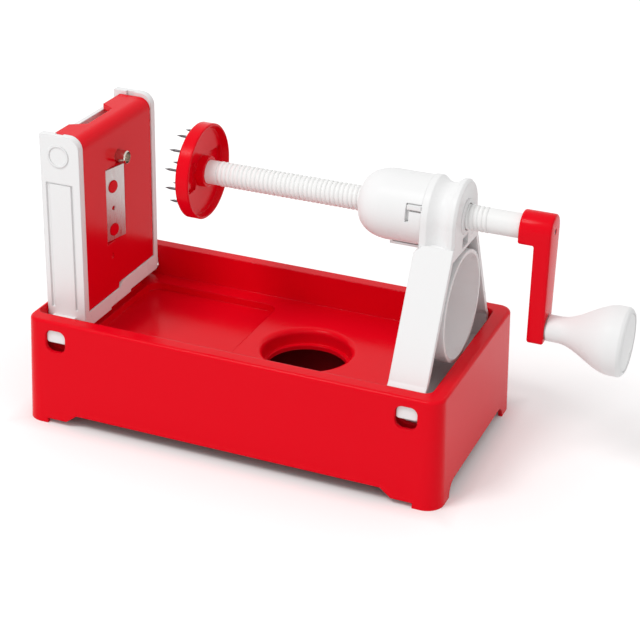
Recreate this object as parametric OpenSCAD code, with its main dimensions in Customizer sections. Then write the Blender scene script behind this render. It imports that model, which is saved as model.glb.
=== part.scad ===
// Hand cranked spiralizer: a boxed tray base carries a blade tower at one end and a screw post at the other.
// Built about the middle of the base, +X toward the crank, -Y front, +Z up, then moved to its reference point.

/* [Base] */
// Length of the base along the rim
base_l = 265.5; // [256:0.5:284]
// Width of the base across the rim
base_w = 140; // [136:0.5:150]
// Height of the rim above the table
base_h = 69; // [66:0.5:76]
// How far each side leans out from rim to table
base_draft = 2.5; // [1:0.1:4]
// Radius of the upright corners
corner_r = 8.5; // [6:0.5:12]
// Rounding of the outer rim edge
rim_round = 2; // [1:0.25:3]
// Thickness of the moulded skins
skin = 2.6; // [2:0.1:3.2]
// Width of the rim along the sides and the crank end
rim_w = 9.4; // [8.4:0.1:11]
// Thickness of the end wall behind the blade tower
end_wall = 2.5; // [2:0.1:5]
// Depth of the tray below the rim
tray_depth = 21; // [20.5:0.5:25]
// Radius of the corners of the tray
tray_corner = 5; // [3:0.5:8]
// Depth of the food recess below the tray floor
recess_depth = 5; // [2:0.5:8]
// Half width of the food recess
recess_half_w = 48.5; // [36:0.5:54]
// Radius of the corners of the food recess
recess_corner = 8; // [2:0.5:12]
// Station of the recess edge nearest the well
recess_end_x = -17.3; // [-40:0.1:-11]
// Radius of the well lip
well_r = 30.8; // [24:0.1:33]
// Station of the well centre
well_x = 23.1; // [20:0.1:40]
// Depth of the well collar
well_depth = 13; // [8:0.5:25]
// Rounding of the well lip
well_round = 3.5; // [1:0.5:4]
// Width of the step at the bottom of the well
well_step = 2.4; // [1:0.1:5]
// Height of the step at the bottom of the well
well_step_h = 3; // [1:0.5:5]
// Distance of the stiffening ribs under the floor from the middle plane
rib_y = 34; // [33:0.5:38]
// Thickness of the stiffening ribs
rib_t = 2.2; // [1.5:0.1:3]
// Height of the lower edge of the stiffening ribs above the table
rib_z = 9.5; // [9:0.5:20]
// Length of each corner foot along the base
foot_l = 16; // [14:0.5:30]
// Width of each corner foot across the base
foot_w = 20; // [14:0.5:32]
// Height of the skirt next to the foot
skirt_z = 3.3; // [1:0.1:6]
// Length of the skirt next to the foot
skirt_l = 13; // [4:0.5:30]
// Height of the arch between the feet
arch_z = 8.6; // [7:0.1:14]
// Length of the slope from skirt to arch
arch_run = 7; // [3:0.5:14]

/* [Clips] */
// Distance of each clip window from the end of the base
window_inset = 20.25; // [19:0.25:22]
// Width of a clip window
window_w = 13.4; // [12:0.1:15]
// Height of a clip window
window_h = 14.2; // [12:0.1:14.6]
// Gap from the rim down to a window
window_drop = 5.6; // [5:0.1:6.4]
// Upper corner radius of a clip window
window_top_r = 4.4; // [3:0.1:5]
// Lower corner radius of a clip window
window_low_r = 5; // [2:0.1:5.2]
// Height of a clip hook
hook_h = 8.3; // [7.5:0.1:9]
// Lower corner radius of a clip hook
hook_low_r = 1.6; // [0.8:0.1:2]
// How deep a hook sits behind the outer face
hook_sink = 1.9; // [0.8:0.1:3]
// How far the back clip of the tower is set over, so that the tower fits only one way round
back_shift = 4.5; // [0:0.5:5]

/* [Blade tower] */
// Depth of the tower along the base
tower_d = 26; // [24:0.5:30]
// Half width over the cheeks
tower_half_w = 48; // [44:0.5:52]
// Height of the tower above the rim
tower_h = 110.5; // [100:0.5:125]
// Thickness of a cheek
cheek_t = 5; // [4.2:0.1:7]
// Height of the tower sole above the tray floor
sole_rise = 8; // [5:0.5:10]
// Height of the low half of the sill above the sole
sill_h = 10; // [7:0.5:14]
// Extra height of the other half of the sill
sill_step = 3.5; // [1:0.1:6]
// Rounding of the upper front cheek corner
cheek_round = 8; // [4:0.5:10]
// Rounding of the lower corners of the frame
sole_round = 7; // [3:0.5:9]
// Depth of the guide grooves in the cheeks
groove_depth = 1.6; // [1:0.1:3.2]
// Width of the guide grooves
groove_w = 5; // [4:0.5:9]
// Height of the rail across the back
rail_h = 12.5; // [8:0.5:24]
// Thickness of the rail across the back
rail_t = 3; // [2:0.1:4]

/* [Blade cassette] */
// Thickness of the cassette face
face_t = 3; // [2.4:0.1:4]
// Gap between sliding faces
slide_gap = 0.3; // [0.2:0.05:0.5]
// Width of the slicing blade strip
blade_w = 17.8; // [14:0.1:21]
// Height of the slicing blade strip
blade_h = 47; // [40:0.5:56]
// Thickness of the slicing blade strip
blade_t = 0.8; // [0.6:0.1:1.1]
// Tilt of the blade strip out of the face
blade_tilt = 12.3; // [10:0.1:14]
// Height of the cutting edge above the face
blade_lift = 2.6; // [2:0.1:3.2]
// Width of the slot ahead of the cutting edge
slot_w = 6.2; // [5:0.1:9]
// Outer radius of the coring tube
tube_r = 4.1; // [3:0.1:6]
// Wall of the coring tube
tube_wall = 0.6; // [0.4:0.1:1]
// How far the coring tube stands out of the face
tube_l = 6.8; // [4:0.1:12]

/* [Screw drive] */
// Distance from the top of the tower down to the crank axis
axis_drop = 26.1; // [22:0.1:30]
// Crest radius of the lead screw
screw_r = 7.6; // [7.2:0.1:8.6]
// Radius of the smooth collars of the lead screw
collar_r = 7.2; // [6:0.1:7.6]
// Radius of the steel core of the lead screw
rod_r = 2.6; // [2:0.1:4]
// Running gap around turning pieces
run_gap = 0.08; // [0.05:0.01:0.1]
// Gap around pressed pieces
press_gap = 0.02; // [0.01:0.01:0.04]
// Free gap around the screw
screw_gap = 0.4; // [0.3:0.05:0.8]
// Radius of the spiked disc
disc_r = 29; // [26:0.5:34]
// Thickness of the spiked disc
disc_t = 8.5; // [7.5:0.1:12]
// Station of the back of the spiked disc
disc_x = -42.8; // [-50:0.1:-30]
// Length of the spikes
spike_l = 9.8; // [6:0.1:13]
// Radius of a spike
spike_r = 0.75; // [0.5:0.05:1.1]
// Spikes in the outer ring
spikes_outer = 12; // [8:1:16]
// Radius of the outer ring of spikes
spike_ring_outer = 22.5; // [19:0.1:24]
// Spikes in the inner ring
spikes_inner = 6; // [4:1:8]
// Radius of the inner ring of spikes
spike_ring_inner = 13; // [10:0.1:15]

/* [Post] */
// Gap from the post to the crank end of the tray
post_inset = 3.85; // [2:0.05:6]
// Depth of the post along the base
post_d = 23; // [22:0.5:28]
// Radius of the post head
head_r = 21.5; // [20.5:0.1:24]
// Thickness of the post walls
post_wall = 3.4; // [2.6:0.1:4]
// Half width of the legs at the rim
leg_half_w = 56.8; // [50:0.1:58]
// Distance from the crank axis down to where the legs meet the head
shoulder_drop = 12.4; // [8:0.1:16]
// Outer radius of the ring in the post
ring_r = 33.9; // [30:0.1:35]
// Height of the ring centre above the rim
ring_rise = 27.8; // [25:0.1:31]
// Wall of the ring in the post
ring_wall = 2.3; // [1.5:0.1:4]
// Outer radius of the barrel
barrel_r = 20.8; // [19:0.1:21.4]
// Length of the barrel
barrel_l = 41.5; // [38:0.5:50]
// Length of the rounded nose of the barrel
nose_l = 18; // [10:0.5:22]
// Length of the drive nut
nut_l = 16; // [12:0.5:18]

/* [Crank] */
// Length of screw that shows between the post and the crank
screw_show = 31.7; // [20:0.1:40]
// Length of the crank hub
hub_l = 19; // [15:0.1:24]
// Radius of the crank hub
hub_r = 10; // [9:0.1:13]
// Distance from crank axis to knob axis
crank_throw = 59.5; // [50:0.5:70]
// Thickness of the crank arm
arm_t = 9.7; // [7:0.1:11]
// Half width of the arm at its knob end
arm_half_w = 8.6; // [7:0.1:10]
// How far the arm runs below the knob axis
arm_over = 8.4; // [7:0.1:14]
// Length of the knob
knob_l = 46.6; // [40:0.1:56]
// Largest radius of the knob
knob_r = 20.3; // [17:0.1:24]
// Radius of the knob neck
neck_r = 7.8; // [7:0.1:10]

/* [Colours] */
// Colour of the coloured mouldings
red = "#d9101f"; // color
// Colour of the pale mouldings
white = "#f1efec"; // color
// Colour of the steel pieces
steel = "#b9bcc0"; // color
// Colour of the spikes
dark_steel = "#6d6a6b"; // color

/* [Hidden] */
$fn = 64;
// How far joined shapes run into each other
eps = 0.01;
// How far a cut runs past the face that it opens
cut = 1;

// Base
half_l = base_l / 2;
half_w = base_w / 2;
lean = atan(base_draft / base_h);
corner_x = half_l - corner_r;
corner_y = half_w - corner_r;
tray_x0 = -half_l + end_wall;
tray_x1 = half_l - rim_w;
tray_half_w = half_w - rim_w;
floor_z = base_h - tray_depth;
recess_z = floor_z - recess_depth;
hollow_round = 1;
well_z = floor_z - well_depth;
well_bore_r = well_r - well_round;
well_low_r = well_bore_r - well_step;

// Clips
window_x = half_l - window_inset;
window_top = base_h - window_drop;
window_z = window_top - window_h;
hook_w = window_w - 2 * slide_gap;
hook_r = window_top_r - slide_gap;
hook_z = window_top - slide_gap - hook_h;
hook_end = half_w + base_draft * (1 - hook_z / base_h) - hook_sink;
clip_y = tray_half_w - slide_gap;

// Blade tower
tower_x0 = tray_x0 + 0.25;
tower_x1 = tower_x0 + tower_d;
tower_z = floor_z + sole_rise;
tower_top = base_h + tower_h;
axis_z = tower_top - axis_drop;
tower_in = tower_half_w - cheek_t;
sill_z = tower_z + sill_h;
sill_top = sill_z + sill_step;
sill_slope_y0 = -3.5;
sill_slope_y1 = 0.5;
seat_x0 = tower_x0;
seat_x1 = tower_x1 - 9;
seat_half_w = tower_in - 1;
recess_x0 = seat_x1 + 2;
sole_low_y = -15.5;
sole_low_h = 1.5;
sole_high_y = 10.5;
sole_high_h = 3;
groove_x = tower_x1 - 17;
groove_z = sill_z + 6;
rail_drop = 7;
panel_x0 = tower_x0 + 3;
panel_x1 = tower_x0 + 21;
panel_drop = 30;
panel_top = tower_top - panel_drop;
panel_line = 0.6;
panel_left_w = 2.2;
panel_right_w = 1.4;
panel_depth = 1;
badge_r = 7;
badge_inset = 12;
badge_drop = 12.6;
badge_x = tower_x0 + badge_inset;
badge_z = tower_top - badge_drop;
badge_line = 1.2;
badge_rise = 0.5;
clip_x0 = tower_x0 + 4;
clip_x1 = tower_x0 + 19.4;

// Blade cassette
cassette_x0 = tower_x0 + rail_t + 1.5;
cassette_x1 = tower_x1 - 0.5;
cassette_half_w = tower_in - slide_gap;
cassette_z = sill_z + slide_gap;
cassette_top = tower_top - 2.3;
cassette_round = cheek_round - 0.8;
face_back_x = cassette_x1 - face_t;
hollow_z0 = sill_top + skin + 1;
hollow_z1 = cassette_top - skin - 1;
notch_mouth = 21.8;
notch_half_w = 15.2;
notch_depth = 9.4;
notch_h = 9;
guide_z = sill_z + 12;
guide_top = cassette_top - 8;
blade_y0 = -15.2;
blade_y1 = blade_y0 + blade_w * cos(blade_tilt);
blade_z1 = axis_z - tube_r - 1.1;
blade_z0 = blade_z1 - blade_h;
blade_sink = blade_w * sin(blade_tilt) - blade_lift;
blade_bevel = 1.4;
bed_margin = 1;
bed_short = 1.2;
bed_gap = 0.1;
pocket_floor_x = face_back_x + 0.6;
stake_r = 4;
stake_u = 7.2;
stake_rise = 0.35;
stake_gap = 0.1;
stake_low = 6.6;
stake_high = 12;
stake_z = [blade_z0 + stake_low, blade_z1 - stake_high];
pin_hole_r = 1.5;
pilot_l = 12;
mark_y = -10.5;
mark_z = 91;
mark_r = 1.4;
mark_depth = 0.4;
tube_flange = 1.2;
tube_flange_t = 0.6;
tube_bevel = 0.8;

// Post, barrel and nut
plate_x1 = tray_x1 - post_inset;
post_x = plate_x1 - post_d;
barrel_x1 = post_x + 2;
barrel_x0 = barrel_x1 - barrel_l;
barrel_in = barrel_r - skin;
spigot_r = barrel_in - 0.15;
spigot_l = 14;
nut_x1 = barrel_x1 - spigot_l;
nut_x0 = nut_x1 - nut_l;
nut_r = barrel_in - 0.1;
free_r = screw_r + screw_gap;
nose_hole_r = free_r + 0.4;
nose_lip = 0.8;
foot_flare_z = base_h - 2.5;
leg_foot_z = base_h + 1.5;
leg_top_z = axis_z - 13;
leg_lean = 1.1;
ring_proud = 0.6;
flange_t = 4;
plate_edge = 1.5;
waist_share = 0.15;
waist_x0 = barrel_x1 + flange_t;
waist_x1 = plate_x1 - flange_t;
waist_l = waist_x1 - waist_x0;
waist_step = 0.1;
shoulder_z = axis_z - shoulder_drop;
shoulder_fall = 5;
shoulder_run = 5;
neck_inset = 0.1;
neck_z = leg_top_z - shoulder_fall - eps;
neck_top = axis_z - 0.5;
ring_z = base_h + ring_rise;
tongue_half_w = 10.5;
tongue_r = barrel_r + slide_gap;
tongue_t = 1.4;
tongue_l = 21;
latch_z = axis_z + 5.4;
latch_x = barrel_x1 - 9.2;
latch_h = 4.2;
latch_leg_w = 2;
latch_leg_z = axis_z - 1;
latch_depth = 5;
lug_x = barrel_x1 - 8.4;
lug_z = axis_z + 6.6;
lug_h = 2.6;
lug_y = -barrel_r + 0.3;
lug_t = 4;
bush_seat = 11;
bush_wall = 2;
bush_lip = 0.6;
bush_x0 = barrel_x1 + bush_seat + 2;
bush_show = 1.2;
bush_x1 = plate_x1 + bush_show;
pocket_half_w = 5;
pocket_h = 6;
pocket_z = axis_z - 18;
pocket_depth = 11;

// Crank and knob
hub_x = bush_x1 + screw_show;
arm_x1 = hub_x + hub_l;
arm_x0 = arm_x1 - arm_t;
hub_flat = 7.2;
arm_round = 2.5;
knob_z = axis_z - crank_throw;
axle_r = 2.5;
axle_head = 1.4;
axle_head_t = 1.2;
axle_head_gap = 0.2;
washer_t = 0.8;
washer_r = neck_r - 0.8;
crank_screw_r = 1.75;
crank_screw_gap = 0.05;
crank_screw_sink = 0.3;
drive_r = 0.9;
drive_depth = 0.9;
knob_x0 = arm_x1 + washer_t + 0.1;
knob_x1 = knob_x0 + knob_l;
knob_core_x = knob_x1 - 16;
knob_core_r = axle_r + 3.2;
knob_funnel_r = 8;
knob_funnel_x = knob_x1 - 14;
knob_hollow_x = knob_x1 - 9;
knob_ledge = 2;
swell_start = 0.14;
swell_share = 0.7;
swell_end = 0.88;
knob_edge_l = 2.6;
knob_edge_turn = 1;
knob_edge_draw = 0.9;
knob_edge_in = 2.2;
cap_t = 2.4;
cap_r = knob_r - 3.4;
cap_gap = 0.1;
cap_sink = 0.2;
cap_round = 0.5;
keeper_x = knob_core_x + slide_gap;
keeper_r = axle_r + 2;
keeper_t = 2.2;

// Screw and disc
disc_front = disc_x - disc_t;
screw_x0 = disc_front + 3.2;
screw_x1 = arm_x0;
tenon_wall = 2;
tenon_r = hub_flat - tenon_wall;
shoulder_gap = 0.3;
tenon_x0 = hub_x - shoulder_gap;
thread_x0 = disc_x + 7.3;
thread_x1 = hub_x - 18.4;
thread_run = 0.6;
bore_r = rod_r + run_gap;
rod_inset = 1;
disc_hub_r = collar_r + 2.2;
disc_hub_rise = 0.4;
disc_edge = 0.8;
disc_rim_top = 0.6;
disc_rim_w = 1.4;
disc_wall = 2.6;
dish_z = 3.8;
dish_hub_z = 4.6;
channel_floor = 2.4;
channel_half_w = 8.5;
channel_end = 4.4;
spike_root = 1.6;
spike_point_l = 3;
spike_tip_r = 0.12;
spike_outer_angle = 13.7;
spike_inner_angle = 28;
disc_nut_r = 4.6;
disc_nut_t = 1.2;
disc_nut_shank_r = 3;
disc_nut_gap = 0.2;
slot_depth = 0.6;
slot_half_w = 0.4;
slot_half_l = 3;

origin_x = (knob_x1 - half_l - base_draft) / 2;

// Moves a piece from the middle of the base to the reference point and gives it its colour
module piece(tint) color(tint) translate([-origin_x, 0, 0]) children();

// Box between two corners
module block(low, high) translate(low) cube(high - low);

// Rectangle with round corners, the same to both sides of the middle line
module round_rect(x0, x1, hw, r) {
  translate([x0 + r, -hw]) square([x1 - x0 - 2 * r, 2 * hw]);
  translate([x0, -hw + r]) square([x1 - x0, 2 * hw - 2 * r]);
  for (x = [x0 + r, x1 - r], y = [-hw + r, hw - r])
    translate([x, y]) circle(r);
}

// Turned shape about an axis along X, points are radius and station
module turned(points, z = axis_z) translate([0, 0, z]) rotate([0, 90, 0]) rotate_extrude() polygon(points);

// Round bar along X
module bar(x0, x1, r, z = axis_z) translate([x0, 0, z]) rotate([0, 90, 0]) cylinder(h = x1 - x0, r = r);

// Prism along X, drawn in Y and Z
module along_x(x0, x1) translate([x0, 0, 0]) rotate([90, 0, 90]) linear_extrude(x1 - x0) children();

// Prism along Y, drawn in X and Z
module along_y(y0, y1) translate([0, y1, 0]) rotate([90, 0, 0]) linear_extrude(y1 - y0) children();

// The same shape at the front and, mirrored, at the back
module both_sides() for (m = [0, 1]) mirror([0, m, 0]) children();

// Radius of a leaning wall about its corner axis, at a height
function lean_r(inset, z) = corner_r - inset + base_draft * (1 - z / base_h);

// Half section of a leaning wall from its corner axis outward, the upper edge rounded
module wall_section(inset, z0, z1, edge_r) {
  edge_x = lean_r(inset, z1) - edge_r * (1 - sin(lean)) / cos(lean);
  edge_z = z1 - edge_r;
  polygon([[0, z0], [lean_r(inset, z0), z0], [edge_x + edge_r * cos(lean), edge_z + edge_r * sin(lean)],
    [edge_x, edge_z], [edge_x, z1], [0, z1]]);
  translate([edge_x, edge_z]) circle(edge_r);
}

// Section right across a leaning block
module block_section(reach, inset, z0, z1, edge_r) {
  for (m = [0, 1]) mirror([m, 0]) translate([reach, 0]) wall_section(inset, z0, z1, edge_r);
  translate([-reach, z0]) square([2 * reach, z1 - z0]);
}

// Block with leaning sides and round corners, for the outside of the base and the hollow under it
module leaning_block(inset, z0, z1, edge_r) {
  along_x(-corner_x, corner_x) block_section(corner_y, inset, z0, z1, edge_r);
  along_y(-corner_y, corner_y) block_section(corner_x, inset, z0, z1, edge_r);
  for (turn = [0:3]) {
    sx = turn == 0 || turn == 3 ? 1 : -1;
    sy = turn < 2 ? 1 : -1;
    translate([sx * corner_x, sy * corner_y, 0]) rotate(90 * turn)
      rotate_extrude(angle = 90) wall_section(inset, z0, z1, edge_r);
  }
}

// Outline of the lower edge of a long side, cut away between the feet
module side_arch() {
  foot_x = half_l + base_draft - foot_l;
  skirt_x = foot_x - skirt_l;
  arch_x = skirt_x - arch_run;
  polygon([[-foot_x, -cut], [-foot_x, skirt_z], [-skirt_x, skirt_z], [-arch_x, arch_z],
    [arch_x, arch_z], [skirt_x, skirt_z], [foot_x, skirt_z], [foot_x, -cut]]);
}

// Outline of the lower edge of an end, a flat arch with round shoulders
module end_arch() {
  foot_y = half_w + base_draft - foot_w;
  arch_y = foot_y - arch_z;
  translate([-arch_y, -cut]) square([2 * arch_y, cut + arch_z]);
  for (s = [-1, 1]) translate([s * arch_y, 0]) circle(arch_z);
}

// Clip window: small round corners above, large ones below
module window_shape() {
  half = window_w / 2;
  translate([-half, window_z + window_low_r]) square([window_w, window_h - window_low_r - window_top_r]);
  translate([-half + window_top_r, window_top - window_top_r - eps])
    square([window_w - 2 * window_top_r, window_top_r + eps]);
  translate([-half + window_low_r, window_z]) square([window_w - 2 * window_low_r, window_low_r + eps]);
  for (s = [-1, 1]) {
    translate([s * (half - window_top_r), window_top - window_top_r]) circle(window_top_r);
    translate([s * (half - window_low_r), window_z + window_low_r]) circle(window_low_r);
  }
}

module well_collar() translate([well_x, 0, 0]) rotate_extrude()
  polygon([[well_low_r, well_z], [well_r, well_z], [well_r, floor_z], [well_low_r, floor_z]]);

module well_bore() translate([well_x, 0, 0]) rotate_extrude() {
  polygon([[0, well_z - cut], [well_low_r, well_z - cut], [well_low_r, well_z + well_step_h],
    [well_bore_r, well_z + well_step_h], [well_bore_r, floor_z + cut], [0, floor_z + cut]]);
  difference() {
    translate([well_bore_r, floor_z - well_round]) square([well_round, well_round + cut]);
    translate([well_r, floor_z - well_round]) circle(well_round);
  }
}

// Open space under the tray, one skin inside every face
module base_hollow() difference() {
  leaning_block(skin, -cut, base_h - skin, hollow_round);
  translate([0, 0, floor_z - skin]) linear_extrude(base_h)
    round_rect(tray_x0 - skin, tray_x1 + skin, tray_half_w + skin, tray_corner + skin);
  translate([0, 0, recess_z - skin]) linear_extrude(recess_depth + skin)
    round_rect(recess_x0, recess_end_x + skin, recess_half_w + skin, recess_corner + skin);
  well_collar();
}

module base_tray() piece(red) difference() {
  union() {
    difference() {
      leaning_block(0, 0, base_h, rim_round);
      translate([0, 0, floor_z]) linear_extrude(base_h) round_rect(tray_x0, tray_x1, tray_half_w, tray_corner);
      base_hollow();
    }
    block([seat_x0, -seat_half_w, floor_z - eps], [seat_x1, seat_half_w, tower_z]);
    both_sides() block([recess_x0, rib_y, rib_z], [tray_x1, rib_y + rib_t, floor_z - eps]);
  }
  translate([0, 0, recess_z]) linear_extrude(recess_depth + cut)
    round_rect(recess_x0 + skin, recess_end_x, recess_half_w, recess_corner);
  well_bore();
  block([seat_x0 + skin, -seat_half_w + skin, -cut], [seat_x1 - skin, seat_half_w - skin, tower_z - skin]);
  for (x = [-window_x, window_x])
    along_y(-base_w, 0) translate([x, 0]) window_shape();
  for (x = [-window_x - back_shift, window_x])
    along_y(0, base_w) translate([x, 0]) window_shape();
  along_y(-base_w, base_w) side_arch();
  along_x(-base_l, base_l) end_arch();
}

// Hook that reaches through both skins of the base into a clip window at the back
module clip_hook(x, y0) along_y(y0, hook_end) translate([x, hook_z]) {
  side = hook_w / 2 - hook_r;
  low = hook_w / 2 - hook_low_r;
  translate([-hook_w / 2, hook_low_r]) square([hook_w, hook_h - hook_r - hook_low_r]);
  translate([-side, hook_h - hook_r - eps]) square([2 * side, hook_r + eps]);
  translate([-low, 0]) square([2 * low, hook_low_r + eps]);
  for (s = [-1, 1]) {
    translate([s * side, hook_h - hook_r]) circle(hook_r);
    translate([s * low, hook_low_r]) circle(hook_low_r);
  }
}

// Frame outline seen from the crank end
module tower_outline() difference() {
  union() {
    translate([-tower_half_w, tower_z + sole_round])
      square([2 * tower_half_w, tower_top - tower_z - sole_round]);
    translate([-tower_half_w + sole_round, tower_z])
      square([2 * tower_half_w - 2 * sole_round, sole_round + eps]);
    for (s = [-1, 1]) translate([s * (tower_half_w - sole_round), tower_z + sole_round]) circle(sole_round);
  }
  polygon([[-tower_in, sill_z], [sill_slope_y0, sill_z], [sill_slope_y1, sill_top], [tower_in, sill_top],
    [tower_in, tower_top + cut], [-tower_in, tower_top + cut]]);
}

// Upright plate outline with one rounded upper corner, seen from the front
module cheek_outline(x0, x1, z0, z1, r) {
  translate([x0, z0]) square([x1 - x0, z1 - z0 - r]);
  translate([x0, z1 - r - eps]) square([x1 - x0 - r, r + eps]);
  translate([x1 - r, z1 - r]) circle(r);
}

// Fine lines that frame the panel on the outside of a cheek, at the back
module panel_lines() {
  block([panel_x0, tower_half_w - panel_depth, base_h - cut],
    [panel_x0 + panel_left_w, tower_half_w + cut, panel_top]);
  block([panel_x1 - panel_right_w, tower_half_w - panel_depth, base_h - cut],
    [panel_x1, tower_half_w + cut, panel_top]);
  block([panel_x0, tower_half_w - panel_line, panel_top - panel_line],
    [panel_x1, tower_half_w + cut, panel_top]);
}

module blade_tower() piece(white) {
  difference() {
    intersection() {
      along_x(tower_x0, tower_x1) tower_outline();
      along_y(-tower_half_w - cut, tower_half_w + cut)
        cheek_outline(tower_x0, tower_x1, tower_z, tower_top, cheek_round);
    }
    both_sides() {
      block([groove_x, tower_in - groove_depth, groove_z],
        [groove_x + groove_w, tower_in + groove_depth, tower_top + cut]);
      panel_lines();
    }
    block([seat_x1, sole_low_y, tower_z - cut], [tower_x1 + cut, sole_high_y, tower_z + sole_low_h]);
    block([seat_x1, sole_high_y, tower_z - cut], [tower_x1 + cut, tower_half_w + cut, tower_z + sole_high_h]);
  }
  block([tower_x0, -tower_in - eps, tower_top - rail_drop - rail_h],
    [tower_x0 + rail_t, tower_in + eps, tower_top - rail_drop]);
  both_sides() {
    along_y(tower_half_w - badge_rise, tower_half_w + badge_rise) translate([badge_x, badge_z]) difference() {
      circle(badge_r);
      circle(badge_r - badge_line);
    }
    block([clip_x0, tower_half_w - cut, hook_z], [clip_x1, clip_y, hook_z + hook_h]);
  }
  clip_hook(-window_x - back_shift, clip_y - eps);
  mirror([0, 1, 0]) clip_hook(-window_x, clip_y - eps);
}

// Sloping bed under the blade strip, drawn in X and Y
module blade_bed() {
  bed_y = blade_y1 - bed_short;
  low_x = cassette_x1 - blade_sink - blade_t / cos(blade_tilt) - bed_gap;
  high_x = low_x + (bed_y - blade_y0) * tan(blade_tilt);
  polygon([[face_back_x, blade_y0 - bed_margin], [low_x, blade_y0 - bed_margin], [low_x, blade_y0],
    [high_x, bed_y], [face_back_x, bed_y]]);
}

// Places a shape in the plane of the blade strip: first axis across the strip, second into the cassette
module on_blade() translate([cassette_x1 - blade_sink, blade_y0, 0]) rotate([0, 0, 90 - blade_tilt])
  children();

// Round peg square to the blade strip, at a height, from above its face to a depth in it
module blade_peg(z, rise, depth, r)
  on_blade() translate([stake_u, -rise, z]) rotate([-90, 0, 0]) cylinder(h = rise + depth, r = r);

// Finger notch in the upper back edge of the cassette, seen from above
module notch_outline() polygon([[cassette_x0 - cut, -notch_mouth], [cassette_x0 + notch_depth, -notch_half_w],
  [cassette_x0 + notch_depth, notch_half_w], [cassette_x0 - cut, notch_mouth]]);

module blade_cassette() piece(red) {
  difference() {
    union() {
      difference() {
        along_y(-cassette_half_w, cassette_half_w)
          cheek_outline(cassette_x0, cassette_x1, cassette_z, cassette_top, cassette_round);
        block([cassette_x0 - cut, sill_slope_y0 - slide_gap, sill_z],
          [cassette_x1 + cut, cassette_half_w + cut, sill_top + slide_gap]);
        block([cassette_x0 - cut, -cassette_half_w + skin, hollow_z0],
          [face_back_x, cassette_half_w - skin, hollow_z1]);
        translate([0, 0, cassette_top - notch_h]) linear_extrude(notch_h + cut) notch_outline();
        block([pocket_floor_x, blade_y0 - bed_margin, blade_z0 - bed_margin],
          [cassette_x1 + cut, blade_y1 - bed_margin, blade_z1 + bed_margin]);
      }
      translate([0, 0, blade_z0 - bed_margin]) linear_extrude(blade_h + 2 * bed_margin) blade_bed();
      for (z = stake_z) blade_peg(z, stake_rise, blade_t + cut, stake_r);
    }
    block([face_back_x - cut, blade_y1 - bed_short, blade_z0 + bed_margin],
      [cassette_x1 + cut, blade_y1 - bed_short + slot_w, blade_z1 - bed_margin]);
    bar(face_back_x - cut, cassette_x1 + cut, tube_r + run_gap);
    blade_peg((stake_z[0] + stake_z[1]) / 2, cut, pilot_l, pin_hole_r);
    along_x(cassette_x1 - mark_depth, cassette_x1 + cut) translate([mark_y, mark_z]) circle(mark_r);
  }
  both_sides() block([groove_x + slide_gap, cassette_half_w - cut, guide_z],
    [groove_x + groove_w - slide_gap, cassette_half_w + groove_depth - slide_gap, guide_top]);
}

module slicing_blade() piece(steel) difference() {
  translate([0, 0, blade_z0]) on_blade() linear_extrude(blade_h)
    polygon([[0, 0], [blade_w, 0], [blade_w - blade_bevel, blade_t], [0, blade_t]]);
  for (z = stake_z) blade_peg(z, cut, blade_t + cut, stake_r + stake_gap);
  blade_peg((stake_z[0] + stake_z[1]) / 2, cut, blade_t + cut, pin_hole_r);
}

module coring_tube() piece(steel) turned([[tube_r - tube_wall, face_back_x - tube_flange_t],
  [tube_r + tube_flange, face_back_x - tube_flange_t], [tube_r + tube_flange, face_back_x],
  [tube_r, face_back_x],
  [tube_r, cassette_x1 + tube_l - tube_bevel], [tube_r - tube_wall, cassette_x1 + tube_l]]);

// Post outline seen from the crank end: flared feet and legs that lean in to the head
module post_outline(inset) {
  foot_y = tray_half_w - slide_gap - inset;
  leg_y = leg_half_w - leg_lean * inset;
  head_y = head_r - leg_lean * inset;
  polygon([[-foot_y, floor_z + inset], [-foot_y, foot_flare_z], [-leg_y, leg_foot_z], [-head_y, shoulder_z],
    [-head_y, axis_z], [head_y, axis_z], [head_y, shoulder_z], [leg_y, leg_foot_z], [foot_y, foot_flare_z],
    [foot_y, floor_z + inset]]);
}

// Lower part of the post outline, up to a height
module post_below(inset, z) intersection() {
  post_outline(inset);
  translate([-base_w, 0]) square([2 * base_w, z]);
}

// Outline of the post head along the screw, radius and station: flange, drawn-in waist and bearing plate
head_profile = concat([[head_r, barrel_x1], [head_r, waist_x0]],
  [for (t = [waist_step / 2:waist_step:1])
    [head_r * (1 - waist_share * sin(180 * t)), waist_x0 + waist_l * t]],
  [[head_r, waist_x1], [head_r, plate_x1 - plate_edge], [head_r - plate_edge, plate_x1]]);

// Round head of the post and the neck of the same outline that joins it to the legs
module post_head() {
  turned(concat([[0, barrel_x1]], head_profile, [[0, plate_x1]]));
  translate([0, 0, neck_z]) linear_extrude(neck_top - neck_z)
    for (m = [0, 1]) mirror([0, m])
      polygon(concat([[barrel_x1, 0]], [for (p = head_profile) [p[1], p[0] - neck_inset]], [[plate_x1, 0]]));
}

// Slope on the barrel side where the legs meet the neck, drawn in X and Z
module shoulder_slope() polygon([[post_x - cut, leg_top_z - shoulder_fall], [post_x + shoulder_run, leg_top_z],
  [post_x + shoulder_run, axis_z], [post_x - cut, axis_z]]);

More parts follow.
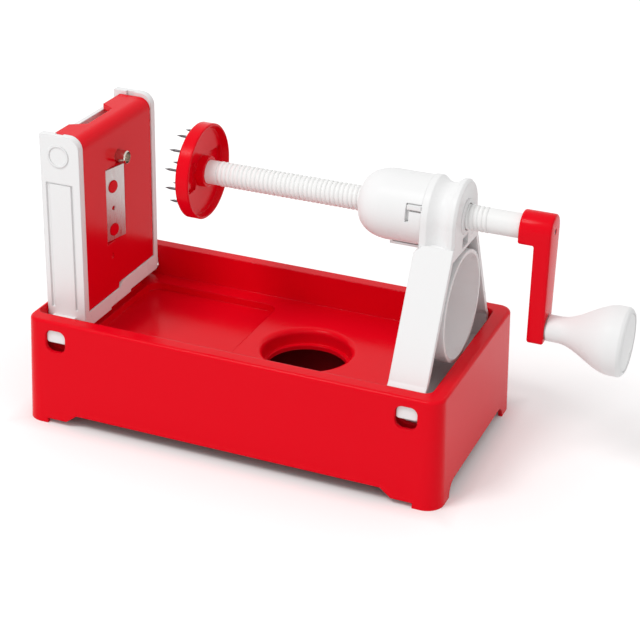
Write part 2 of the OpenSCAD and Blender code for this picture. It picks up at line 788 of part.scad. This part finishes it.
module post() piece(white) difference() {
  union() {
    difference() {
      along_x(post_x, plate_x1) post_below(0, leg_top_z);
      along_x(post_x + post_wall, plate_x1 + cut) post_below(post_wall, axis_z - head_r + cut);
      bar(post_x - cut, barrel_x1, tongue_r);
      along_y(-base_w, base_w) shoulder_slope();
    }
    along_x(post_x + post_wall - eps, plate_x1 + ring_proud) translate([0, ring_z]) difference() {
      circle(ring_r);
      circle(ring_r - ring_wall);
    }
    post_head();
    bar(nut_x1, barrel_x1 + eps, spigot_r);
    intersection() {
      turned([[tongue_r, barrel_x1 - tongue_l], [tongue_r + tongue_t, barrel_x1 - tongue_l],
        [tongue_r + tongue_t, post_x + cut], [tongue_r, post_x + cut]]);
      block([barrel_x0, -tongue_half_w, floor_z], [plate_x1, tongue_half_w, axis_z]);
    }
    block([lug_x, lug_y, lug_z], [barrel_x1 + eps, lug_y + lug_t, lug_z + lug_h]);
    both_sides() clip_hook(window_x, clip_y - post_wall);
  }
  bar(nut_x1 - cut, barrel_x1 + bush_seat + cut, spigot_r - skin);
  bar(barrel_x1 + bush_seat, plate_x1 + cut, free_r + bush_wall);
  block([plate_x1 - pocket_depth, -pocket_half_w, pocket_z],
    [plate_x1 + cut, pocket_half_w, pocket_z + pocket_h]);
}

module post_bush() piece(white) turned([[free_r, bush_x0], [free_r + bush_wall, bush_x0],
  [free_r + bush_wall, plate_x1], [free_r + bush_wall + bush_lip, plate_x1], [free_r + bush_wall, bush_x1],
  [free_r, bush_x1]]);

module nut_barrel() piece(white) difference() {
  turned(concat([[nose_hole_r, barrel_x0]],
    [for (a = [0:7.5:90]) [nose_hole_r + nose_lip + (barrel_r - nose_hole_r - nose_lip) * sin(a),
      barrel_x0 + nose_l * (1 - cos(a))]],
    [[barrel_r, barrel_x1], [barrel_in, barrel_x1], [barrel_in, nut_x0], [nose_hole_r, nut_x0]]));
  block([latch_x, -barrel_r - cut, latch_z], [barrel_x1 + cut, -barrel_r + latch_depth, latch_z + latch_h]);
  block([latch_x, -barrel_r - cut, latch_leg_z],
    [latch_x + latch_leg_w, -barrel_r + latch_depth, latch_z + cut]);
}

module drive_nut() piece(white) turned([[free_r, nut_x0], [nut_r, nut_x0], [nut_r, nut_x1], [free_r, nut_x1]]);

module lead_screw() piece(white) turned([[bore_r, screw_x0], [collar_r, screw_x0], [collar_r, thread_x0],
  [screw_r, thread_x0 + thread_run], [screw_r, thread_x1 - thread_run], [collar_r, thread_x1],
  [collar_r, tenon_x0], [tenon_r, tenon_x0], [tenon_r, screw_x1], [bore_r, screw_x1]]);

module tie_rod() piece(steel) bar(screw_x0 + rod_inset, screw_x1 - rod_inset, rod_r);

// One shape at every place of a ring of spikes
module spike_ring(count, r, start)
  for (i = [0:count - 1]) {
    a = start + i * 360 / count;
    translate([0, r * cos(a), axis_z + r * sin(a)]) children();
  }

// One shape at every spike of the disc
module spike_places() {
  spike_ring(spikes_outer, spike_ring_outer, spike_outer_angle) children();
  spike_ring(spikes_inner, spike_ring_inner, spike_inner_angle) children();
}

module spike_disc() piece(red) difference() {
  turned([[0, disc_front], [disc_r - disc_edge, disc_front], [disc_r, disc_front + disc_edge],
    [disc_r, disc_x - disc_rim_top], [disc_r - disc_rim_top, disc_x], [disc_r - disc_rim_w, disc_x],
    [disc_r - disc_wall, disc_x - dish_z], [disc_hub_r, disc_x - dish_hub_z],
    [disc_hub_r, disc_x + disc_hub_rise], [0, disc_x + disc_hub_rise]]);
  bar(screw_x0, disc_x + cut, collar_r + press_gap);
  bar(disc_front - cut, disc_x, disc_nut_shank_r + disc_nut_gap);
  both_sides() block([disc_front + channel_floor, disc_hub_r, axis_z - channel_half_w],
    [disc_x + cut, disc_r - channel_end, axis_z + channel_half_w]);
  spike_places() bar(disc_front - cut, disc_front + spike_root, spike_r + press_gap, 0);
}

module disc_spikes() piece(dark_steel) spike_places()
  turned([[0, disc_front + spike_root], [spike_r, disc_front + spike_root],
    [spike_r, disc_front - spike_l + spike_point_l], [spike_tip_r, disc_front - spike_l],
    [0, disc_front - spike_l]], 0);

module disc_nut() piece(steel) difference() {
  turned([[0, disc_front - disc_nut_t], [disc_nut_r, disc_front - disc_nut_t], [disc_nut_r, disc_front],
    [disc_nut_shank_r, disc_front], [disc_nut_shank_r, screw_x0], [0, screw_x0]]);
  block([disc_front - disc_nut_t - cut, -slot_half_l, axis_z - slot_half_w],
    [disc_front - disc_nut_t + slot_depth, slot_half_l, axis_z + slot_half_w]);
}

// Crank outline seen from the end: round hub above, arm tapering to the knob end
module arm_outline() {
  bottom = knob_z - arm_over;
  side = arm_half_w - arm_round;
  translate([0, axis_z]) circle(hub_r);
  polygon([[-hub_r, axis_z], [-arm_half_w, bottom + arm_round], [arm_half_w, bottom + arm_round],
    [hub_r, axis_z]]);
  translate([-side, bottom]) square([2 * side, arm_round + eps]);
  for (s = [-1, 1]) translate([s * side, bottom + arm_round]) circle(arm_round);
}

module crank_arm() piece(red) difference() {
  union() {
    along_x(arm_x0, arm_x1) arm_outline();
    along_x(hub_x, arm_x0 + eps) intersection() {
      arm_outline();
      translate([-hub_r, axis_z - hub_flat]) square([2 * hub_r, hub_flat + hub_r + cut]);
    }
  }
  bar(hub_x - cut, screw_x1, tenon_r + press_gap);
  bar(screw_x1 - cut, arm_x1 + cut, crank_screw_r + crank_screw_gap);
  bar(arm_x0 - cut, arm_x1 + cut, axle_r + press_gap, knob_z);
  bar(arm_x0 - cut, arm_x0 + axle_head_t + axle_head_gap, axle_r + axle_head + press_gap, knob_z);
}

module crank_screw() piece(steel) difference() {
  bar(screw_x1, arm_x1 - crank_screw_sink, crank_screw_r);
  bar(arm_x1 - crank_screw_sink - drive_depth, arm_x1, drive_r);
}

// Knob radius along its length, a slow swell from neck to bell
function swell(t) = t * t * (3 - 2 * t);
function knob_radius(t) = neck_r + (knob_r - neck_r) * swell(min(1, max(0, (t - swell_start) / swell_share)));

module knob() piece(white) turned(concat([[axle_r + run_gap, knob_x0]],
  [for (t = [0:0.04:swell_end]) [knob_radius(t), knob_x0 + knob_l * t]],
  [[knob_r, knob_x1 - knob_edge_l], [knob_r - knob_edge_draw, knob_x1 - knob_edge_turn],
    [knob_r - knob_edge_in, knob_x1], [cap_r, knob_x1],
    [cap_r, knob_x1 - cap_t], [cap_r - knob_ledge, knob_x1 - cap_t], [cap_r - knob_ledge, knob_hollow_x],
    [knob_funnel_r, knob_funnel_x], [knob_core_r, knob_core_x], [axle_r + run_gap, knob_core_x]]), knob_z);

module knob_cap() piece(white) turned([[0, knob_x1 - cap_t], [cap_r - cap_gap, knob_x1 - cap_t],
  [cap_r - cap_gap, knob_x1 - cap_sink - cap_round], [cap_r - cap_gap - cap_round, knob_x1 - cap_sink],
  [0, knob_x1 - cap_sink]], knob_z);

module knob_axle() piece(steel) turned([[0, arm_x0 + axle_head_gap],
  [axle_r + axle_head, arm_x0 + axle_head_gap],
  [axle_r + axle_head, arm_x0 + axle_head_gap + axle_head_t], [axle_r, arm_x0 + axle_head_gap + axle_head_t],
  [axle_r, keeper_x], [keeper_r, keeper_x], [keeper_r, keeper_x + keeper_t],
  [0, keeper_x + keeper_t]], knob_z);

module axle_washer() piece(steel) turned([[axle_r + run_gap, arm_x1], [washer_r, arm_x1],
  [washer_r, arm_x1 + washer_t], [axle_r + run_gap, arm_x1 + washer_t]], knob_z);

base_tray();
blade_tower();
blade_cassette();
slicing_blade();
coring_tube();
post();
post_bush();
nut_barrel();
drive_nut();
lead_screw();
tie_rod();
spike_disc();
disc_spikes();
disc_nut();
crank_arm();
crank_screw();
knob();
knob_cap();
knob_axle();
axle_washer();
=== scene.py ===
import bmesh
import bpy
import math
from mathutils import Matrix, Vector


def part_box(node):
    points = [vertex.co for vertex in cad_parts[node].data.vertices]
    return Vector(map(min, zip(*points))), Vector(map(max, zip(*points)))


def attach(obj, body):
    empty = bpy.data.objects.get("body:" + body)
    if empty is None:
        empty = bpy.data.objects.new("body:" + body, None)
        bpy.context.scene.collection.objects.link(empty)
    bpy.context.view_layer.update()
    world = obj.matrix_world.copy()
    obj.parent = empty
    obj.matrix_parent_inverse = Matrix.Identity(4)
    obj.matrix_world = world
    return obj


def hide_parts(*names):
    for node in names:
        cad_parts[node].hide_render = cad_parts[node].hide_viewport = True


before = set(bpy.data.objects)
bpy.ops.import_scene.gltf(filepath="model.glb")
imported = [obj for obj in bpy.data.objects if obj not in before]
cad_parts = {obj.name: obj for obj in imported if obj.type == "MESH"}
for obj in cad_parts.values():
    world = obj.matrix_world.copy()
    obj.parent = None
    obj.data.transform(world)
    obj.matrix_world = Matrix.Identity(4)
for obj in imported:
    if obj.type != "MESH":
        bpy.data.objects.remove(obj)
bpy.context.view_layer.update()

# Base tray: one injection moulding in glossy red ABS that carries everything else.
# It came out of a polished tool, so its broad faces mirror the room softly
# and its edges are slightly round.
mm = 0.001


def linear(hex_code):
    """sRGB hex value as linear red, green, blue, alpha."""
    parts = [int(hex_code[i:i + 2], 16) / 255 for i in (1, 3, 5)]
    return [c / 12.92 if c <= 0.04045 else ((c + 0.055) / 1.055) ** 2.4 for c in parts] + [1.0]


def add(tree, kind, links=None, **settings):
    """Adds a node with its settings; links gives each input a value or the socket that feeds it."""
    node = tree.nodes.new(kind)
    for name, value in settings.items():
        setattr(node, name, value)
    for name, source in (links or {}).items():
        if isinstance(source, bpy.types.NodeSocket):
            tree.links.new(source, node.inputs[name])
        else:
            node.inputs[name].default_value = source
    return node


def fresh_material(name):
    """Empty node material and its tree."""
    material = bpy.data.materials.new(name)
    material.use_nodes = True
    material.node_tree.nodes.clear()
    return material, material.node_tree


def moulded_abs(name, colour, roughness, mirror, edge_mm, ripple):
    """Moulded ABS: even colour, soft mirror, faint sink ripple, edges rounded by edge_mm."""
    # flow marks vary the gloss, and the sink ripple is the wave left as the wall cools
    flow_mark, sink_wave, sink_depth = 30 * mm, 14 * mm, 0.2 * mm
    shiniest, dullest = 0.82, 1.2
    abs_ior = 1.53
    material, tree = fresh_material(name)
    place = add(tree, "ShaderNodeTexCoord").outputs["Object"]
    flow = add(tree, "ShaderNodeTexNoise", {
        "Vector": place, "Scale": 1 / flow_mark, "Detail": 3.0, "Roughness": 0.6})
    gloss = add(tree, "ShaderNodeMapRange", {
        "Value": flow.outputs["Fac"], "From Min": 0.3, "From Max": 0.7,
        "To Min": roughness * shiniest, "To Max": roughness * dullest})
    sink = add(tree, "ShaderNodeTexNoise", {"Vector": place, "Scale": 1 / sink_wave, "Detail": 1.0})
    edge = add(tree, "ShaderNodeBevel", {"Radius": edge_mm * mm}, samples=6)
    bump = add(tree, "ShaderNodeBump", {
        "Height": sink.outputs["Fac"], "Normal": edge.outputs["Normal"],
        "Strength": ripple, "Distance": sink_depth})
    shader = add(tree, "ShaderNodeBsdfPrincipled", {
        "Base Color": linear(colour), "Roughness": gloss.outputs["Result"], "IOR": abs_ior,
        "Specular IOR Level": mirror, "Normal": bump.outputs["Normal"]})
    add(tree, "ShaderNodeOutputMaterial", {"Surface": shader.outputs["BSDF"]})
    return material


def past_box(tree, offset, half, axes):
    """How far a point lies past the sides of a box, from its offset to the box's middle."""
    sides = add(tree, "ShaderNodeVectorMath", {0: offset}, operation="ABSOLUTE")
    past = add(tree, "ShaderNodeVectorMath", {0: sides.outputs[0], 1: half}, operation="SUBTRACT")
    past = add(tree, "ShaderNodeSeparateXYZ", {0: past.outputs[0]}).outputs
    furthest = past[axes[0]]
    for axis in axes[1:]:
        furthest = add(tree, "ShaderNodeMath", {0: furthest, 1: past[axis]},
                       operation="MAXIMUM").outputs[0]
    return furthest


def dress(node, material):
    """Gives a kept CAD solid its finish."""
    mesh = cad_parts[node].data
    mesh.materials.clear()
    mesh.materials.append(material)


red, painted_shade_red = "#e5031a", "#6b0109"
red_gloss = {"roughness": 0.2, "mirror": 0.07, "edge_mm": 1.1, "ripple": 0.05}
red_abs = moulded_abs("glossy red ABS", red, **red_gloss)
# the tray's copy of the red carries painted shade on the ribs under its floor
tray_abs = moulded_abs("glossy red ABS, painted shade below", red, **red_gloss)

# painted shade: the two ribs under the floor are coloured dark red for the shade under the tray,
# and this shows through the well
rib_middle, rib_offset = Vector((-43, 0, 0)) * mm, Vector((0, 36, 0)) * mm
rib_half, rib_fade = Vector((115, 6, 43)) * mm, 3 * mm
tree = tray_abs.node_tree
place = add(tree, "ShaderNodeTexCoord").outputs["Object"]
middled = add(tree, "ShaderNodeVectorMath", {0: place, 1: rib_middle}, operation="SUBTRACT")
mirrored = add(tree, "ShaderNodeVectorMath", {0: middled.outputs[0]}, operation="ABSOLUTE")
from_rib = add(tree, "ShaderNodeVectorMath", {0: mirrored.outputs[0], 1: rib_offset},
               operation="SUBTRACT")
clear_of_painted_shade = add(tree, "ShaderNodeMapRange", {
    "Value": past_box(tree, from_rib.outputs[0], rib_half, "XYZ"),
    "From Min": -rib_fade, "From Max": 0.0})
# inside the rib box the base colour turns to the dark red of the painted shade
tone = add(tree, "ShaderNodeMix", {
    0: clear_of_painted_shade.outputs["Result"], 6: linear(painted_shade_red), 7: linear(red)}, data_type="RGBA")
tray_shader = next(node for node in tree.nodes if node.type == "BSDF_PRINCIPLED")
tree.links.new(tone.outputs[2], tray_shader.inputs["Base Color"])
dress("base_tray", tray_abs)

# Blade tower: a U-shaped frame in glossy white ABS that clips into the tray.
# The cassette slides down between its cheeks, which are moulded a little thicker at the edges.
white_abs = moulded_abs("glossy white ABS", "#eeeeee",
                        roughness=0.3, mirror=0.09, edge_mm=1.0, ripple=0.05)
dress("blade_tower", white_abs)

# Blade cassette: red ABS insert from the same tool shop as the base, so it has the same gloss.
# The blade strip is held by two pins melted over in the moulding.
dress("blade_cassette", red_abs)


# Slicing blade and coring tube: stainless strip ground along its height, and thin drawn tube.
# The strip is staked to its bed and the tube is pushed into its bore.
# The belt's lines are too fine to show at 0.05 mm, so they are drawn at 0.4 mm.
def ground_steel(name, colour, roughness, stretch, scratch_mm):
    """Worked steel: bright metal with fine lines of the belt or die, stretched along one axis."""
    edge_round, scratch_depth = 0.15 * mm, 0.03 * mm
    shiniest, dullest = 0.7, 1.4
    material, tree = fresh_material(name)
    place = add(tree, "ShaderNodeTexCoord").outputs["Object"]
    lay = add(tree, "ShaderNodeMapping", {"Vector": place, "Scale": stretch})
    lines = add(tree, "ShaderNodeTexNoise", {
        "Vector": lay.outputs["Vector"], "Scale": 1 / (scratch_mm * mm),
        "Detail": 4.0, "Roughness": 0.7})
    dull = add(tree, "ShaderNodeMapRange", {
        "Value": lines.outputs["Fac"], "From Min": 0.3, "From Max": 0.7,
        "To Min": roughness * shiniest, "To Max": roughness * dullest})
    edge = add(tree, "ShaderNodeBevel", {"Radius": edge_round}, samples=4)
    bump = add(tree, "ShaderNodeBump", {
        "Height": lines.outputs["Fac"], "Normal": edge.outputs["Normal"],
        "Strength": 0.15, "Distance": scratch_depth})
    shader = add(tree, "ShaderNodeBsdfPrincipled", {
        "Base Color": linear(colour), "Metallic": 1.0, "Roughness": dull.outputs["Result"],
        "Normal": bump.outputs["Normal"]})
    add(tree, "ShaderNodeOutputMaterial", {"Surface": shader.outputs["BSDF"]})
    return material


blade_steel = ground_steel("ground stainless strip", "#c9c7c5",
                           roughness=0.3, stretch=(1.0, 1.0, 0.06), scratch_mm=0.4)
dress("slicing_blade", blade_steel)
tube_steel = ground_steel("drawn stainless tube", "#cfc9bf",
                          roughness=0.14, stretch=(0.08, 1.0, 1.0), scratch_mm=0.4)
dress("coring_tube", tube_steel)

# Post, bush, barrel and nut: the white ABS bearing of the screw.
# The barrel twists on to the post's spigot and its latch snaps over a small lug.
for part in ("post", "post_bush", "nut_barrel", "drive_nut"):
    dress(part, white_abs)

# Lead screw: white acetal, moulded with a rounded right-hand thread between two smooth collars.
# Acetal is a touch more waxy than the ABS, so its crests shine broadly and its valleys stay soft.
# Its crank end steps down to a tenon inside the hub.
white_acetal = moulded_abs("white acetal", "#f0f0ef",
                           roughness=0.34, mirror=0.09, edge_mm=0.2, ripple=0.03)
screw_low, screw_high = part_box("lead_screw")
thread_start, thread_end, lead = -77.2 * mm, 91.6 * mm, 2.8 * mm
shoulder_gap = 0.3 * mm
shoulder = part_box("crank_arm")[0].x - shoulder_gap
screw_sizes = {
    "Axis Height": (screw_low.z + screw_high.z) / 2,
    "Core Radius": 6.75 * mm,
    "Collar Radius": 7.2 * mm,
    "Thread Middle": (thread_start + thread_end) / 2,
    "Thread Length": thread_end - thread_start,
    "Turns": (thread_end - thread_start) / lead,
    "Ridge Radius": 6.5 * mm,
    "Ridge Half Width": 1.3 * mm,
    "Ridge Flatness": 0.77,
    "Near Collar Middle": (screw_low.x + thread_start) / 2,
    "Near Collar Length": thread_start - screw_low.x,
    "Far Collar Middle": (thread_end + shoulder) / 2,
    "Far Collar Length": shoulder - thread_end,
    "Tenon Radius": 5.2 * mm,
    "Tenon Middle": (shoulder + screw_high.x) / 2,
    "Tenon Length": screw_high.x - shoulder,
}
bar_sides, turn_steps, ridge_sides = 72, 40, 16
sharp_bend = math.radians(50)
along_x = (0, math.pi / 2, 0)

thread = bpy.data.node_groups.new("moulded thread", "GeometryNodeTree")
for name in screw_sizes:
    thread.interface.new_socket(name, in_out="INPUT", socket_type="NodeSocketFloat")
thread.interface.new_socket("Finish", in_out="INPUT", socket_type="NodeSocketMaterial")
thread.interface.new_socket("Screw", in_out="OUTPUT", socket_type="NodeSocketGeometry")
given = add(thread, "NodeGroupInput").outputs
solids = []
for radius, length, middle in (("Core Radius", "Thread Length", "Thread Middle"),
                               ("Collar Radius", "Near Collar Length", "Near Collar Middle"),
                               ("Collar Radius", "Far Collar Length", "Far Collar Middle"),
                               ("Tenon Radius", "Tenon Length", "Tenon Middle")):
    turned_bar = add(thread, "GeometryNodeMeshCylinder", {
        "Vertices": bar_sides, "Radius": given[radius], "Depth": given[length]})
    place = add(thread, "ShaderNodeCombineXYZ", {"X": given[middle], "Z": given["Axis Height"]})
    solids.append(add(thread, "GeometryNodeTransform", {
        "Geometry": turned_bar.outputs["Mesh"], "Translation": place.outputs[0],
        "Rotation": along_x}))
helix = add(thread, "GeometryNodeCurveSpiral", {
    "Resolution": turn_steps, "Rotations": given["Turns"], "Start Radius": given["Ridge Radius"],
    "End Radius": given["Ridge Radius"], "Height": given["Thread Length"], "Reverse": True})
upright = add(thread, "GeometryNodeSetCurveNormal", {"Curve": helix.outputs["Curve"]}, mode="Z_UP")
crest = add(thread, "GeometryNodeCurvePrimitiveCircle", {
    "Resolution": ridge_sides, "Radius": given["Ridge Half Width"]})
flat = add(thread, "ShaderNodeCombineXYZ", {"X": given["Ridge Flatness"], "Y": 1.0, "Z": 1.0})
oval = add(thread, "GeometryNodeTransform", {
    "Geometry": crest.outputs["Curve"], "Scale": flat.outputs[0]})
ridge = add(thread, "GeometryNodeCurveToMesh", {
    "Curve": upright.outputs[0], "Profile Curve": oval.outputs[0], "Fill Caps": True})
half_down = add(thread, "ShaderNodeMath", {0: given["Thread Length"], 1: -0.5},
                operation="MULTIPLY")
lowered = add(thread, "ShaderNodeCombineXYZ", {"Z": half_down.outputs[0]})
middled = add(thread, "GeometryNodeTransform", {
    "Geometry": ridge.outputs["Mesh"], "Translation": lowered.outputs[0]})
seat = add(thread, "ShaderNodeCombineXYZ", {
    "X": given["Thread Middle"], "Z": given["Axis Height"]})
solids.append(add(thread, "GeometryNodeTransform", {
    "Geometry": middled.outputs[0], "Translation": seat.outputs[0], "Rotation": along_x}))
whole = add(thread, "GeometryNodeJoinGeometry")
for solid in solids:
    thread.links.new(solid.outputs[0], whole.inputs[0])
bend = add(thread, "GeometryNodeInputMeshEdgeAngle")
soft = add(thread, "ShaderNodeMath", {0: bend.outputs[0], 1: sharp_bend}, operation="LESS_THAN")
smooth = add(thread, "GeometryNodeSetShadeSmooth", {
    "Geometry": whole.outputs[0], "Shade Smooth": soft.outputs[0]}, domain="EDGE")
single = add(thread, "GeometryNodeRealizeInstances", {"Geometry": smooth.outputs[0]})
coated = add(thread, "GeometryNodeSetMaterial", {
    "Geometry": single.outputs[0], "Material": given["Finish"]})
add(thread, "NodeGroupOutput", {"Screw": coated.outputs[0]})


def in_scene(name, data):
    """New object in the scene, at the origin."""
    thing = bpy.data.objects.new(name, data)
    bpy.context.scene.collection.objects.link(thing)
    return thing


def grown(name, tree, sizes, material):
    """Runs a geometry tree with its sizes and keeps the result as a plain mesh."""
    host = in_scene(name, bpy.data.meshes.new(name + "_seed"))
    modifier = host.modifiers.new("shape", "NODES")
    modifier.node_group = tree
    for socket in tree.interface.items_tree:
        if socket.in_out == "INPUT":
            finish = socket.name == "Finish"
            modifier[socket.identifier] = material if finish else sizes[socket.name]
    bpy.context.view_layer.update()
    shown = host.evaluated_get(bpy.context.evaluated_depsgraph_get())
    mesh = bpy.data.meshes.new_from_object(shown)
    host.modifiers.remove(modifier)
    host.data = mesh
    mesh.name = name
    return host


screw = grown("threaded_screw", thread, screw_sizes, white_acetal)
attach(screw, "crank")
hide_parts("lead_screw")

# Spiked disc, its nut and the steel core: the food holder on the end of the screw.
# The dish is red ABS; the pins are drawn wire, dark from its own oxide.
dress("spike_disc", red_abs)
pin_steel = ground_steel("drawn wire", "#5c5558",
                         roughness=0.35, stretch=(0.1, 1.0, 1.0), scratch_mm=0.3)
dress("disc_spikes", pin_steel)
turned_steel = ground_steel("turned mild steel", "#a9a9aa",
                            roughness=0.3, stretch=(1.0, 0.3, 0.3), scratch_mm=0.3)
for part in ("disc_nut", "tie_rod"):
    dress(part, turned_steel)

# Crank: red ABS arm, moulded with the hub that grips the end of the lead screw.
# Its outer edges are rounded for the hand; the edges near its two bores stay sharp,
# and flat facets of the solid are merged first so that the rounding runs clean.
edge_radius, edge_steps, clear_of_bores = 1.3 * mm, 4, 6 * mm
merge_distance, flat_bend = 1e-6, math.radians(1)
corner_bend, crease_bend = math.radians(40), math.radians(30)
knob_low, knob_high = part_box("knob")
bores = [Vector((0, (low.z + high.z) / 2))
         for low, high in ((screw_low, screw_high), (knob_low, knob_high))]
arm_shape = bmesh.new()
arm_shape.from_mesh(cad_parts["crank_arm"].data)
bmesh.ops.remove_doubles(arm_shape, verts=arm_shape.verts, dist=merge_distance)
bmesh.ops.dissolve_limit(arm_shape, angle_limit=flat_bend,
                         verts=arm_shape.verts, edges=arm_shape.edges)
corners = [edge for edge in arm_shape.edges
           if edge.is_manifold and edge.calc_face_angle() > corner_bend
           and all((v.co.yz - bore).length > clear_of_bores for v in edge.verts for bore in bores)]
bmesh.ops.bevel(arm_shape, geom=corners, offset=edge_radius, offset_type="OFFSET",
                segments=edge_steps, profile=0.5, affect="EDGES", clamp_overlap=True)
arm_mesh = bpy.data.meshes.new("rounded_arm")
arm_shape.to_mesh(arm_mesh)
arm_shape.free()
arm_mesh.shade_smooth()
arm_mesh.set_sharp_from_angle(angle=crease_bend)
arm_mesh.materials.append(red_abs)
rounded_arm = in_scene("rounded_arm", arm_mesh)
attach(rounded_arm, "crank")
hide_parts("crank_arm")

# Crank screw: a short turned steel screw with a six-sided socket that holds the arm on.
# It goes in from outside, and its head sits just below the face of the hub.
head_low, head_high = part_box("crank_screw")
head_z, head_radius = (head_low.z + head_high.z) / 2, (head_high.z - head_low.z) / 2
head_edge, socket_flat, socket_depth, head_steps = 0.25 * mm, 1.0 * mm, 1.6 * mm, 36
turns = [2 * math.pi * i / head_steps for i in range(head_steps)]
full, broken = [head_radius] * head_steps, [head_radius - head_edge] * head_steps
six_sided = [socket_flat / math.cos(a % (math.pi / 3) - math.pi / 6) for a in turns]
rings = [(head_low.x, full), (head_high.x - head_edge, full), (head_high.x, broken),
         (head_high.x, six_sided), (head_high.x - socket_depth, six_sided)]
points = [(x, radius * math.cos(a), head_z + radius * math.sin(a))
          for x, radii in rings for radius, a in zip(radii, turns)]
last_ring = (len(rings) - 1) * head_steps
faces = [(ring + i, ring + (i + 1) % head_steps,
          ring + head_steps + (i + 1) % head_steps, ring + head_steps + i)
         for ring in range(0, last_ring, head_steps) for i in range(head_steps)]
faces += [tuple(range(head_steps))[::-1], tuple(range(last_ring, last_ring + head_steps))]
socket_mesh = bpy.data.meshes.new("socket_screw")
socket_mesh.from_pydata(points, [], faces)
socket_mesh.materials.append(turned_steel)
socket_screw = in_scene("socket_screw", socket_mesh)
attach(socket_screw, "crank")
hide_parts("crank_screw")

# Knob: white ABS bell that turns freely on a steel axle, with a washer between it and the arm.
# The axle is riveted into the arm, and a pressed-in cap of the same plastic
# closes the open end of the bell.
for part in ("knob", "knob_cap"):
    dress(part, white_abs)
for part in ("knob_axle", "axle_washer"):
    dress(part, turned_steel)


# Floor: a matt white table that fades into a white room, with a soft shadow from the lamps under
# the part.
# Its white glow to the eye is left out under the base and close around it, and is weaker near the
# part:
# that is painted shade, which keeps the space under the base dark and deepens the shadow beside it.
def seen_directly(tree):
    """One for what the eye, a mirror or glass sees of the room, zero for the light it gives."""
    rays = add(tree, "ShaderNodeLightPath").outputs
    eye = add(tree, "ShaderNodeMath", {0: rays["Is Camera Ray"], 1: rays["Is Glossy Ray"]},
              operation="MAXIMUM")
    return add(tree, "ShaderNodeMath", {0: eye.outputs[0], 1: rays["Is Transmission Ray"]},
               operation="MAXIMUM").outputs[0]


table_half, table_grey, white = 6.0, "#efefef", "#ffffff"
shade_inside, shade_outside = -8 * mm, 12 * mm
near, far, near_glow, far_glow = 50 * mm, 600 * mm, 0.22, 0.42
floor_mesh = bpy.data.meshes.new("floor")
floor_mesh.from_pydata([(x * table_half, y * table_half, 0)
                        for x, y in ((-1, -1), (1, -1), (1, 1), (-1, 1))], [], [(0, 1, 2, 3)])
floor = in_scene("floor", floor_mesh)
table_white, tree = fresh_material("matt white table")
foot_low, foot_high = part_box("base_tray")
place = add(tree, "ShaderNodeTexCoord").outputs["Object"]
from_base = add(tree, "ShaderNodeVectorMath", {0: place, 1: (foot_low + foot_high) / 2},
                operation="SUBTRACT")
outside = past_box(tree, from_base.outputs[0], (foot_high - foot_low) / 2, "XY")
# painted shade: the glow is left out under the base and fades in over 12 mm outside it
outside_painted_floor_shade = add(tree, "ShaderNodeMapRange", {
    "Value": outside, "From Min": shade_inside, "From Max": shade_outside})
# painted shade: the glow is weaker near the part, which darkens the floor around it
glow_dimmed_near_part = add(tree, "ShaderNodeMapRange", {
    "Value": outside, "From Min": near, "From Max": far, "To Min": near_glow, "To Max": far_glow})
lift = add(tree, "ShaderNodeMath", {0: seen_directly(tree), 1: outside_painted_floor_shade.outputs["Result"]},
           operation="MULTIPLY")
strength = add(tree, "ShaderNodeMath", {0: lift.outputs[0], 1: glow_dimmed_near_part.outputs["Result"]},
               operation="MULTIPLY")
matt = add(tree, "ShaderNodeBsdfDiffuse", {"Color": linear(table_grey)})
glow = add(tree, "ShaderNodeEmission", {"Color": linear(white), "Strength": strength.outputs[0]})
both = add(tree, "ShaderNodeAddShader", {0: matt.outputs[0], 1: glow.outputs[0]})
add(tree, "ShaderNodeOutputMaterial", {"Surface": both.outputs[0]})
floor_mesh.materials.append(table_white)

# Room light: a white room that lights the part evenly from all sides.
# The main lamp stands at the upper left in front and gives the soft shadow to the right;
# a very weak one at the right lifts the crank end.
room_light, room_seen = 0.67, 1.0
world = bpy.data.worlds.new("white room")
bpy.context.scene.world = world
world.use_nodes = True
tree = world.node_tree
tree.nodes.clear()
level = add(tree, "ShaderNodeMapRange", {
    "Value": seen_directly(tree), "To Min": room_light, "To Max": room_seen})
sky = add(tree, "ShaderNodeBackground", {
    "Color": linear(white), "Strength": level.outputs["Result"]})
add(tree, "ShaderNodeOutputWorld", {"Surface": sky.outputs[0]})


def soft_lamp(name, place, aim, size, power):
    """Square soft lamp at a place, turned to a point."""
    lamp = bpy.data.lights.new(name, "AREA")
    lamp.shape = "SQUARE"
    lamp.size = size
    lamp.energy = power
    stand = in_scene(name, lamp)
    stand.location = place
    stand.rotation_euler = (aim - place).to_track_quat("-Z", "Y").to_euler()


part_middle = Vector((0, 0, 0.08))
soft_lamp("key lamp", Vector((-0.6, -0.9, 1.65)), part_middle, size=0.6, power=15.0)
soft_lamp("fill lamp", Vector((0.75, -1.05, 1.15)), part_middle, size=0.9, power=0.8)

# Camera: a long lens in front of the part, to the right of its middle and above it.
# Its place and angles are those of the photograph, fitted to the straight edges of the base.
camera_place = Vector((0.3339, -0.8628, 0.5243))
yaw, pitch, roll = math.radians(21.77), math.radians(26.03), math.radians(1.405)
film_width, focal_length = 36, 95.87
ahead = Vector((-math.sin(yaw) * math.cos(pitch), math.cos(yaw) * math.cos(pitch),
                -math.sin(pitch)))
level_right = Vector((math.cos(yaw), math.sin(yaw), 0))
level_up = level_right.cross(ahead)
right = math.cos(roll) * level_right + math.sin(roll) * level_up
up = -math.sin(roll) * level_right + math.cos(roll) * level_up
camera_data = bpy.data.cameras.new("camera")
camera_data.sensor_width = film_width
camera_data.lens = focal_length
camera = in_scene("camera", camera_data)
turn = Matrix((right, up, -ahead)).transposed().to_4x4()
camera.matrix_world = Matrix.Translation(camera_place) @ turn
bpy.context.scene.camera = camera
bpy.context.scene.view_settings.view_transform = "Standard"
